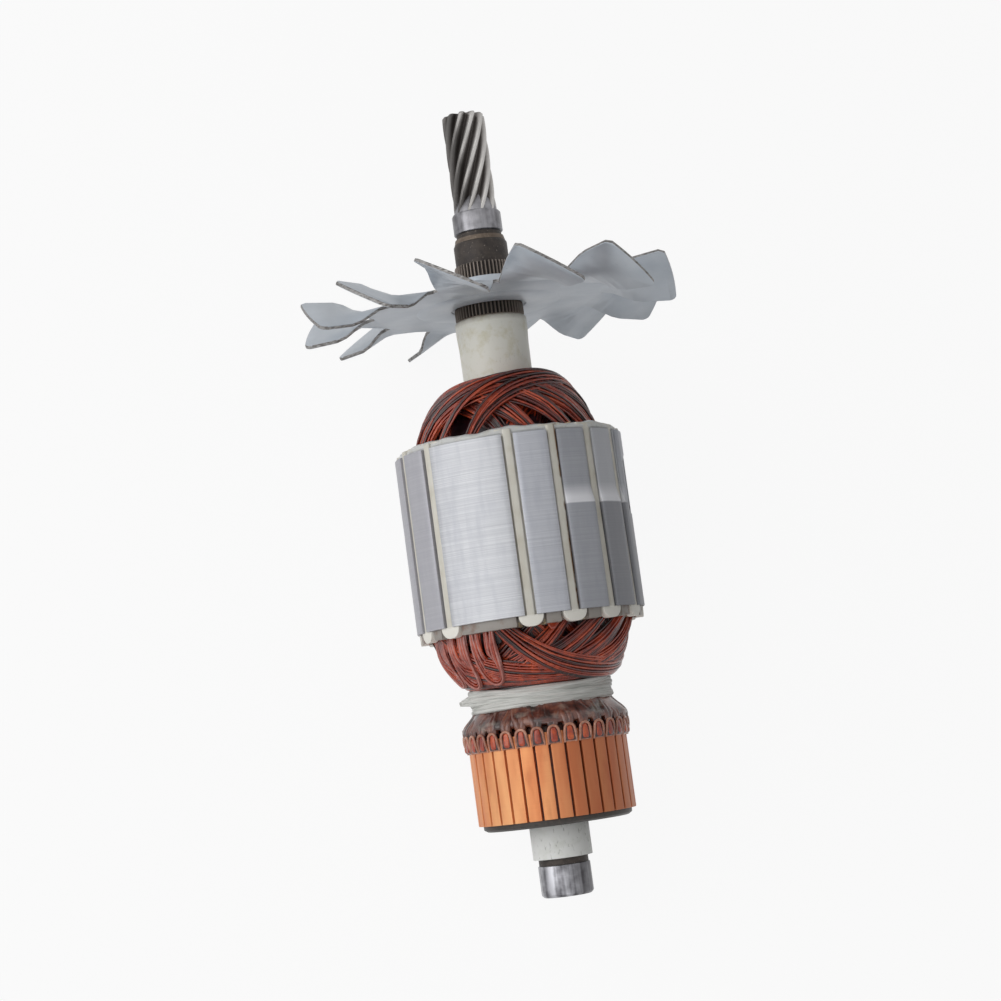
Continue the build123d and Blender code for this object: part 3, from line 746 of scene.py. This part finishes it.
def block(middle, size):
    """Box by its middle and size, on the side of the shaft that is modelled."""
    bpy.ops.object.select_all(action="DESELECT")
    bpy.ops.mesh.primitive_cube_add(size=1, location=middle)
    bpy.context.object.scale = size
    return settled(bpy.context.object)


def wedge_strip():
    """Cream strip: a flat foot under the lips, a rib in the opening and a round tongue below."""
    middle = (CORE_START + CORE_END) / 2 + 0.4
    length = CORE_END - CORE_START + 2
    width = 5.6
    foot = block((24.35, 0, middle), (1.7, width, length))
    tongue = block((24.95, 0, 61.95), (1.9, width, 2.5))
    bpy.ops.object.mode_set(mode="EDIT")
    bpy.ops.mesh.select_mode(type="EDGE")
    bpy.ops.mesh.select_all(action="DESELECT")
    bpy.ops.object.mode_set(mode="OBJECT")
    for edge in tongue.data.edges:
        first, second = (tongue.data.vertices[v].co for v in edge.vertices)
        edge.select = abs(first.x - second.x) > 1 and first.z < 61
    bpy.ops.object.mode_set(mode="EDIT")
    bpy.ops.mesh.bevel(offset=2.4, segments=10)
    bpy.ops.object.mode_set(mode="OBJECT")
    rib = block((25.05, 0, middle), (1.9, 1.9, length - 0.4))
    for part, rounding in ((foot, 0.3), (tongue, 0.5), (rib, 0.35)):
        finished(softened(part, rounding, 3, 50), "slot_wedge")
    return joined("wedge", [foot, tongue, rib])


def wedges():
    """A strip in each slot, with its rib ground down at the top where the teeth are milled."""
    strip = wedge_strip()
    strips = []
    lip_radius = 25.3
    ground_down = 0.55
    for angle in SLOTS:
        twin = copied(strip, f"wedge_{angle:.0f}", 0)
        if angle in MILLED_TEETH:
            for point in twin.data.vertices:
                if point.co.z > CORE_END and point.co.x > lip_radius:
                    point.co.x -= ground_down
        twin.data.transform(Matrix.Rotation(radians(angle - 90), 4, "Z"))
        strips.append(twin)
    bpy.data.objects.remove(strip)
    laid(joined("wedges", strips), "slot_wedges", slot="slot_wedge")


def fan():
    """Stamped fan: satin faces and darker sheared edges."""
    piece = finished(merged_copy("fan", "fan_stamped"), "fan_sheet", "fan_edge")
    collar_radius = 9.5
    for face in piece.data.polygons:
        outside = Vector(face.center[:2]).length > collar_radius
        face.material_index = int(outside and abs(face.normal.z) < 0.7)
    softened(piece, 0.12, 1, 50)
    dish = softened(turned("fan_dish", [
        (8.75, 137.66), (8.75, 137.35), (9.2, 137.1), (15.0, 137.1), (17.0, 137.58), (17.1, 137.66),
        (8.75, 137.66),
    ], "fan_sheet", capped=False), 0.1)
    laid(joined("fan_stamped", [piece, dish]), "fan", slot="fan_sheet")


def strands(name, paths, radius, finish, sides=1):
    """Round wires along their paths, as one mesh."""
    bpy.ops.object.select_all(action="DESELECT")
    bpy.ops.curve.primitive_nurbs_path_add()
    curve = bpy.context.object.data
    curve.splines.clear()
    curve.dimensions = "3D"
    for path in paths:
        spline = curve.splines.new("NURBS")
        spline.points.add(len(path) - 1)
        for point, place in zip(spline.points, path):
            point.co = (*place, 1)
        spline.use_endpoint_u = True
        spline.order_u = 4
        spline.resolution_u = 3
    curve.bevel_depth = radius
    curve.bevel_resolution = sides
    curve.use_fill_caps = True
    curve.materials.append(FINISHES[finish])
    bpy.ops.object.convert(target="MESH")
    piece = bpy.context.object
    piece.name = name
    bpy.ops.object.shade_smooth()
    return piece


# Coil heads: points along a wire, wires across and over one another in a bundle, their radius, and
# the degrees that a bundle spreads to each side
HEAD_STEPS = 12
BUNDLE_COLUMNS = 11
BUNDLE_ROWS = 2
WIRE_RADIUS = 0.25
BUNDLE_SPREAD = 5.2

# A head runs one way along the shaft from a radius and station. It has a width and height, the
# degrees that it climbs at its steepest, the powers that curve its climb, waist and shoulder, and
# the share of a wire's depth by which it is lower.
Head = namedtuple("Head", "way radius station width height steepest climb waist shoulder lower")
DRIVE_HEAD = Head(
    way=1, radius=9.0, station=103.4, width=13.5, height=18.3,
    steepest=64, climb=0.7, waist=1.25, shoulder=1.1, lower=1.0,
)
COMMUTATOR_HEAD = Head(
    way=-1, radius=15.2, station=62.2, width=8.4, height=15.3,
    steepest=60, climb=0.95, waist=1.6, shoulder=1.0, lower=0.5,
)


def head_wire(first, last, side, row, head, coil_shape, chance):
    """One wire of a coil head, from slot to slot; side is its place in the bundle, -1 to 1."""
    depth, sunk_first, sunk_last, sway, split = coil_shape
    start = first - BUNDLE_SPREAD * side + (split if side < -0.1 else 0)
    end = last + BUNDLE_SPREAD * side
    highest = radians(head.steepest + 17 * side)
    drift = chance.uniform(-2.2, 2.2)
    phase = chance.uniform(0, 2 * pi)
    crown = 1.3 * side * side + 0.5 * row + chance.uniform(0, 0.35)
    path = []
    for k in range(HEAD_STEPS + 1):
        share = k / HEAD_STEPS
        rise = sin(pi * share)
        climb = highest * rise ** head.climb
        angle = start + (end - start) * (share - 0.05 * sin(2 * pi * share))
        angle += sway * rise + drift * sin(2 * pi * share + phase)
        sunk = (sunk_first if share < 0.5 else sunk_last) * max(0.0, 1 - 1.6 * rise)
        drop = crown + depth * min(1.0, 2 * rise) + sunk
        radius = head.radius + (head.width - drop) * cos(climb) ** head.waist
        height = (head.height - head.lower * drop) * sin(climb) ** head.shoulder
        path.append(at(radius, angle, head.station + head.way * height))
    return path


def coil(index, chance):
    """Both heads of one coil. Coils wound last lie on top, and early sides deep in their slots."""
    first = SLOTS[index]
    last = SLOTS[(index + COIL_THROW) % SLOT_COUNT]
    if last < first:
        last += 360
    top_coil = index == SLOT_COUNT - 1
    deepest = 3.4
    slot_bottom = 4.0
    slot_middle = 3.0
    depth = deepest * (1 - index / (SLOT_COUNT - 1)) ** 0.7
    sunk_first = slot_bottom if index < COIL_THROW else 0.0
    sunk_last = slot_bottom if index <= COIL_THROW else (slot_middle if index < 10 else 0.0)
    tones = {"winding": [], "winding_maroon": [], "winding_dark": []}
    mostly_bright = index > 10 or index % 3 == 0
    shares = (8, 3, 2) if mostly_bright else (3, 7, 3)
    half = (BUNDLE_COLUMNS - 1) / 2
    for head in (DRIVE_HEAD, COMMUTATOR_HEAD):
        split = 17 if top_coil and head is DRIVE_HEAD else 0
        shape = (depth, sunk_first, sunk_last, chance.uniform(-5, 5), split)
        begin = first + 26 if top_coil and head is COMMUTATOR_HEAD else first
        for row in range(BUNDLE_ROWS):
            for column in range(BUNDLE_COLUMNS):
                side = (column - half + 0.5 * row - 0.25) / (half + 0.25)
                tone = chance.choices(list(tones), shares)[0]
                tones[tone].append(head_wire(begin, last, side, row, head, shape, chance))
    name = f"coil_wires_{index + 1:02d}"
    bundles = [strands(name, paths, WIRE_RADIUS, tone) for tone, paths in tones.items() if paths]
    return joined(name, bundles)


def mirrored(side, *middle):
    """Points up one side, through the middle, and back along the other; the second number mirrors."""
    return [(first, -aside, last) for first, aside, last in side] + [*middle, *reversed(side)]


def hairpins():
    """Short upright loops of the last coil, between the core and the lashing, and one bright end."""
    chance = Random(5)
    nested = 6
    layers = 2
    paths = []
    for middle, width, low in ((-72, 14, 49.5), (-51, 15, 48.7), (-31, 15, 48.9)):
        for k in range(nested * layers):
            nest = k % nested
            deep = 0.45 * (k // nested)
            half = width / 2 - 1.1 * nest
            lean = chance.uniform(-1.0, 1.0)
            foot = low + 0.7 * nest
            leg = [
                (22.7, half - lean, 62.0), (22.8, half, 58.5), (21.9, half + lean, 55.5),
                (20.3, half, foot + 3.4), (18.6, half * 0.8, foot + 1.0),
            ]
            loop = mirrored(leg, (18.0, 0, foot))
            paths.append([at(radius - deep, middle + aside, station) for radius, aside, station in loop])
    pale = strands("hairpin_wires", paths[::2], 0.32, "winding_pale")
    dark = strands("hairpin_wires_deep", paths[1::2], 0.3, "winding")
    laid(joined("hairpin_wires", [pale, dark]), slot="winding")
    bright = [[
        at(22.6, 8.5 + 0.8 * k, 61.8), at(23.0, 9.6 + 0.6 * k, 60.4), at(23.1, 10.6 + 0.4 * k, 59.3),
        at(23.0, 11.8 + 0.3 * k, 60.4), at(22.6, 12.8 + 0.4 * k, 61.8),
    ] for k in range(4)]
    laid(strands("bright_wire_end", bright, 0.28, "hook_wire"), slot="winding")


def windings():
    """Varnished bulk of the heads, coloured near black as painted shade, and the wires of the fifteen coils
    over it.
    """
    # The bulk is near black: painted shade between the wires.
    bulk = turned("winding_bulk", [
        (8.3, 41.0), (14.6, 41.0), (15.0, 47.6), (15.4, 50.5), (17.0, 55.0), (18.4, 60.9),
        (18.4, 105.0), (16.6, 108.0), (14.0, 111.5), (11.0, 115.0), (9.2, 117.0), (8.3, 117.2),
        (8.3, 41.0),
    ], "shade_fill_enamel", capped=False)
    bpy.ops.object.shade_smooth_by_angle(angle=radians(40))
    laid(bulk, slot="winding")
    chance = Random(7)
    for index in range(SLOT_COUNT):
        laid(coil(index, chance), f"coil_{index + 1:02d}", slot="winding")
    hairpins()


def leads():
    """Two varnished wires from under the lashing down to each hook, over a lumpy bed of varnish."""
    bed = turned("lead_bed", [
        (8.3, 38.9), (17.9, 38.9), (18.9, 39.4), (18.9, 40.1), (18.0, 41.2), (16.8, 42.6),
        (15.7, 43.8), (15.2, 48.0), (8.3, 48.0), (8.3, 38.9),
    ], "lead_varnish", capped=False)
    for point in bed.data.vertices:
        turn = atan2(point.co.x, -point.co.y)
        if point.co.z < 44 and Vector(point.co[:2]).length > 12:
            swell = sin(9 * turn + point.co.z) + 0.6 * sin(16 * turn) + 0.5 * sin(5 * turn + 1)
            point.co.x *= 1 + 0.012 * swell
            point.co.y *= 1 + 0.012 * swell
    bpy.ops.object.shade_smooth()
    chance = Random(11)
    paths = []
    apart = 2.8
    for k in range(BAR_COUNT):
        middle = bar_middle(k)
        for side in (-apart, apart):
            lean = chance.uniform(-6.0, 6.0)
            lift = chance.uniform(-0.35, 0.25)
            paths.append([
                at(14.6, middle + side + lean, 44.5),
                at(15.4 + 0.6 * lift, middle + side + lean * 0.8, 42.8),
                at(17.0 + lift, middle + side + lean * 0.4, 41.3),
                at(18.4 + lift, middle + side * 0.8, 39.9),
                at(18.5, middle + side * 0.5, 38.9),
                at(17.8, middle + side * 0.3, 37.8),
            ])
    wires = strands("lead_wires", paths, 0.9, "lead_varnish", 2)
    laid(joined("leads", [wires, bed]), "commutator_leads", slot="lead_varnish")


def lashing():
    """Cord pulled round the leads in flat uneven turns, with a frayed end."""
    chance = Random(3)
    band = softened(turned("lashing_band", [
        (15.0, 43.2), (15.9, 43.2), (16.15, 43.8), (16.15, 47.4), (15.9, 48.0), (15.0, 48.0),
        (15.0, 43.2),
    ], "lashing", capped=False), 0.2)
    wound = []
    turns = 7
    steps = 48 * turns
    wound_radius = 16.05
    first_station = 43.6
    cord_radius = 0.56
    for step in range(steps + 1):
        angle = 360 * turns * step / steps + 150
        turn = radians(angle)
        high = 4.5 + 0.8 * cos(2 * (turn + radians(80)))
        station = first_station + high * step / steps + 0.15 * sin(1.13 * turn) + 0.07 * sin(4.3 * turn)
        lift = 0.16 * sin(2.7 * turn) + 0.12 * sin(6.1 * turn)
        wound.append(at(wound_radius + lift, angle, station))
    cord = strands("lashing_turns", [wound], cord_radius, "lashing", 2)
    fibre_count = 26
    fibre_radius = 0.25
    frayed = []
    for _ in range(fibre_count):
        spread = chance.uniform(-1.0, 1.0)
        reach = chance.uniform(0.3, 1.0)
        frayed.append([
            at(15.9, -64, 46.6 + 1.5 * spread),
            at(16.4, -75, 46.7 + 1.2 * spread),
            at(17.1, -84, 46.6 + 0.8 * spread),
            at(17.4 + 1.5 * reach, -90 - 3 * reach, 46.4 + 0.4 * spread),
        ])
    fibres = strands("lashing_end", frayed, fibre_radius, "lashing")
    laid(joined("lashing", [cord, band, fibres]), "lashing_cord", slot="lashing")


def moulding():
    """Black hub between the bars, with its rounded end ring."""
    hub = softened(turned("hub", [
        (8.25, 16.5), (16.3, 16.5), (17.1, 17.0), (17.15, 18.05), (17.05, 18.1), (17.05, 38.6),
        (8.25, 38.8), (8.25, 16.5),
    ], "moulding", capped=False), 0.15)
    laid(hub, "commutator_moulding", slot="moulding")


HOOK_STATION = 36.6


def bar_body():
    """Copper sector with its riser, on the side of the shaft that is modelled."""
    inner = 13.6
    outer = 18.2
    start = 18.0
    end = 34.4
    step = 0.7
    riser = 2.2
    half_gap = 0.85
    half = BAR_PITCH / 2 - half_gap
    middle = ((inner + outer) / 2, 0, (start + end) / 2)
    bpy.ops.object.select_all(action="DESELECT")
    bpy.ops.mesh.primitive_plane_add(size=1, location=middle, rotation=(pi / 2, 0, 0))
    bar = bpy.context.object
    bar.scale = (outer - inner, end - start, 1)
    settled(bar)
    bar.data.transform(Matrix.Rotation(radians(-half), 4, "Z"))
    bpy.ops.object.mode_set(mode="EDIT")
    bpy.ops.mesh.select_all(action="SELECT")
    bpy.ops.mesh.spin(steps=8, angle=radians(2 * half), center=(0, 0, 0), axis=(0, 0, 1))
    face_outwards()
    picked(bar, lambda face: face.normal.z > 0.9)
    bpy.ops.mesh.extrude_region_move(TRANSFORM_OT_translate={"value": (0, 0, step)})
    bpy.ops.transform.resize(value=(1.07, 0.93, 1), center_override=(inner, 0, end + step))
    bpy.ops.mesh.extrude_region_move(TRANSFORM_OT_translate={"value": (0, 0, riser)})
    bpy.ops.object.mode_set(mode="OBJECT")
    return finished(softened(bar, 0.12, 2, 40), "bar_copper")


def hook_rim():
    """Edge of the hook, bent back over the wire, with its foot across the bar."""
    leg = [(18.3, 1.3, 34.6), (18.7, 1.33, 35.6), (19.0, 1.3, 37.0), (19.0, 1.05, 38.2)]
    foot = [(18.3, 1.35, 34.9), (18.45, 0.5, 34.85)]
    top = (18.95, 0.0, 38.7)
    return strands("hook", [mirrored(leg, top), mirrored(foot)], 0.33, "hook_copper", 3)


def hook_wire():
    """Flattened end of wire in the hook, narrower at its top."""
    wire = block((18.6, 0, HOOK_STATION), (1.3, 1.75, 3.4))
    picked(wire, lambda face: face.normal.z > 0.9)
    bpy.ops.transform.resize(value=(0.8, 0.75, 1), center_override=(18.3, 0, HOOK_STATION))
    bpy.ops.mesh.select_all(action="SELECT")
    bpy.ops.mesh.subdivide(number_cuts=1)
    bpy.ops.object.mode_set(mode="OBJECT")
    swell = wire.modifiers.new("swell", "SUBSURF")
    swell.levels = 2
    swell.render_levels = 2
    bpy.ops.object.modifier_apply(modifier=swell.name)
    bpy.ops.object.shade_smooth()
    return finished(wire, "hook_wire")


def bars():
    """One copper bar with its hook, a dark block as painted shade inside the hook, and the wire, set round
    the hub.
    """
    bar = bar_body()
    rim = hook_rim()
    # Dark block behind the hook wire: painted shade inside the hook.
    shade = softened(block((18.45, 0, HOOK_STATION), (0.9, 2.5, 3.6)), 0.2, 2, 40)
    whole = joined("bar", [bar, rim, finished(shade, "shade_fill_enamel"), hook_wire()])
    for k in range(BAR_COUNT):
        twin = copied(whole, f"bar_{k + 1:02d}", bar_middle(k) - 90)
        laid(twin, f"commutator_bar_{k + 1:02d}", slot="bar_copper")
    bpy.data.objects.remove(whole)


finished(frame["nodes"]["slot_liners"], "slot_paper")
shaft()
sleeves()
core()
wedges()
fan()
windings()
leads()
lashing()
moulding()
bars()


# Floor, light and camera


def seen(tree):
    """1 for rays that see the background: straight, in a gloss or through glass."""
    rays = tree.nodes.new("ShaderNodeLightPath")
    total = rays.outputs["Is Camera Ray"]
    for kind in ("Is Glossy Ray", "Is Transmission Ray"):
        most = tree.nodes.new("ShaderNodeMath")
        most.operation = "MAXIMUM"
        tree.links.new(total, most.inputs[0])
        tree.links.new(rays.outputs[kind], most.inputs[1])
        total = most.outputs[0]
    return total


def floor():
    """Sheet of pale paper that keeps the shadow, and is nearly white wherever it is seen."""
    width = 6
    paper_grey = 0.7
    white_share = 0.92
    bpy.ops.object.select_all(action="DESELECT")
    bpy.ops.mesh.primitive_plane_add(size=width, location=(0, 0, 0))
    piece = bpy.context.object
    piece.name = "floor"
    material = bpy.data.materials.new("floor")
    material.use_nodes = True
    nodes = material.node_tree.nodes
    links = material.node_tree.links
    nodes.clear()
    out = nodes.new("ShaderNodeOutputMaterial")
    mix = nodes.new("ShaderNodeMixShader")
    paper = nodes.new("ShaderNodeBsdfDiffuse")
    paper.inputs["Color"].default_value = (paper_grey, paper_grey, paper_grey, 1)
    links.new(paper.outputs[0], mix.inputs[1])
    links.new(mix.outputs[0], out.inputs[0])
    white = nodes.new("ShaderNodeEmission")
    links.new(white.outputs[0], mix.inputs[2])
    share = nodes.new("ShaderNodeMath")
    share.operation = "MULTIPLY"
    share.inputs[1].default_value = white_share
    links.new(seen(material.node_tree), share.inputs[0])
    links.new(share.outputs[0], mix.inputs[0])
    piece.data.materials.append(material)


VIEWER = direction(0)
RIGHT = ALONG.cross(VIEWER)
LIT_STATION = 70.0


def lamp(name, right, up, near, size, power):
    """Soft square lamp that shines on the core, placed by where it stands for the viewer in millimetres."""
    target = ORIGIN + ALONG * LIT_STATION * MM
    place = target + (RIGHT * right + ALONG * up + VIEWER * near) * MM
    data = bpy.data.lights.new(name, "AREA")
    data.size = size
    data.energy = power
    piece = bpy.data.objects.new(name, data)
    bpy.context.scene.collection.objects.link(piece)
    piece.location = place
    piece.rotation_euler = (place - target).to_track_quat("Z", "Y").to_euler()


def camera():
    """Long lens over the armature, with the pinion end up and leaning to the left."""
    pitch = radians(5.984)
    roll = radians(7.69)
    station = 34.7
    distance = 545.8
    aside = -3.3
    back = VIEWER * cos(pitch) - ALONG * sin(pitch)
    up = ALONG * cos(pitch) + VIEWER * sin(pitch)
    right = up.cross(back)
    turned_right = right * cos(roll) - up * sin(roll)
    turned_up = up * cos(roll) + right * sin(roll)
    view = Matrix((turned_right, turned_up, back)).transposed().to_4x4()
    view.translation = ORIGIN + (ALONG * station + VIEWER * distance + RIGHT * aside) * MM
    data = bpy.data.cameras.new("camera")
    data.lens = 84.875
    data.sensor_width = 36
    data.clip_start = 0.01
    piece = bpy.data.objects.new("camera", data)
    bpy.context.scene.collection.objects.link(piece)
    piece.matrix_world = view
    bpy.context.scene.camera = piece


def light():
    """Three soft lamps, and a white world that gives only a little light of its own."""
    lamp("key", right=-480, up=200, near=480, size=0.8, power=3.35)
    lamp("fill", right=520, up=120, near=420, size=0.6, power=0.12)
    lamp("low", right=-60, up=-420, near=420, size=0.5, power=0.5)
    world_light = 0.2
    world = bpy.data.worlds.new("studio")
    bpy.context.scene.world = world
    world.use_nodes = True
    tree = world.node_tree
    background = tree.nodes["Background"]
    background.inputs["Color"].default_value = (1, 1, 1, 1)
    strength = tree.nodes.new("ShaderNodeMath")
    strength.operation = "MULTIPLY_ADD"
    strength.inputs[1].default_value = 1 - world_light
    strength.inputs[2].default_value = world_light
    tree.links.new(seen(tree), strength.inputs[0])
    tree.links.new(strength.outputs[0], background.inputs["Strength"])


floor()
light()
camera()
bpy.context.scene.view_settings.view_transform = "Standard"
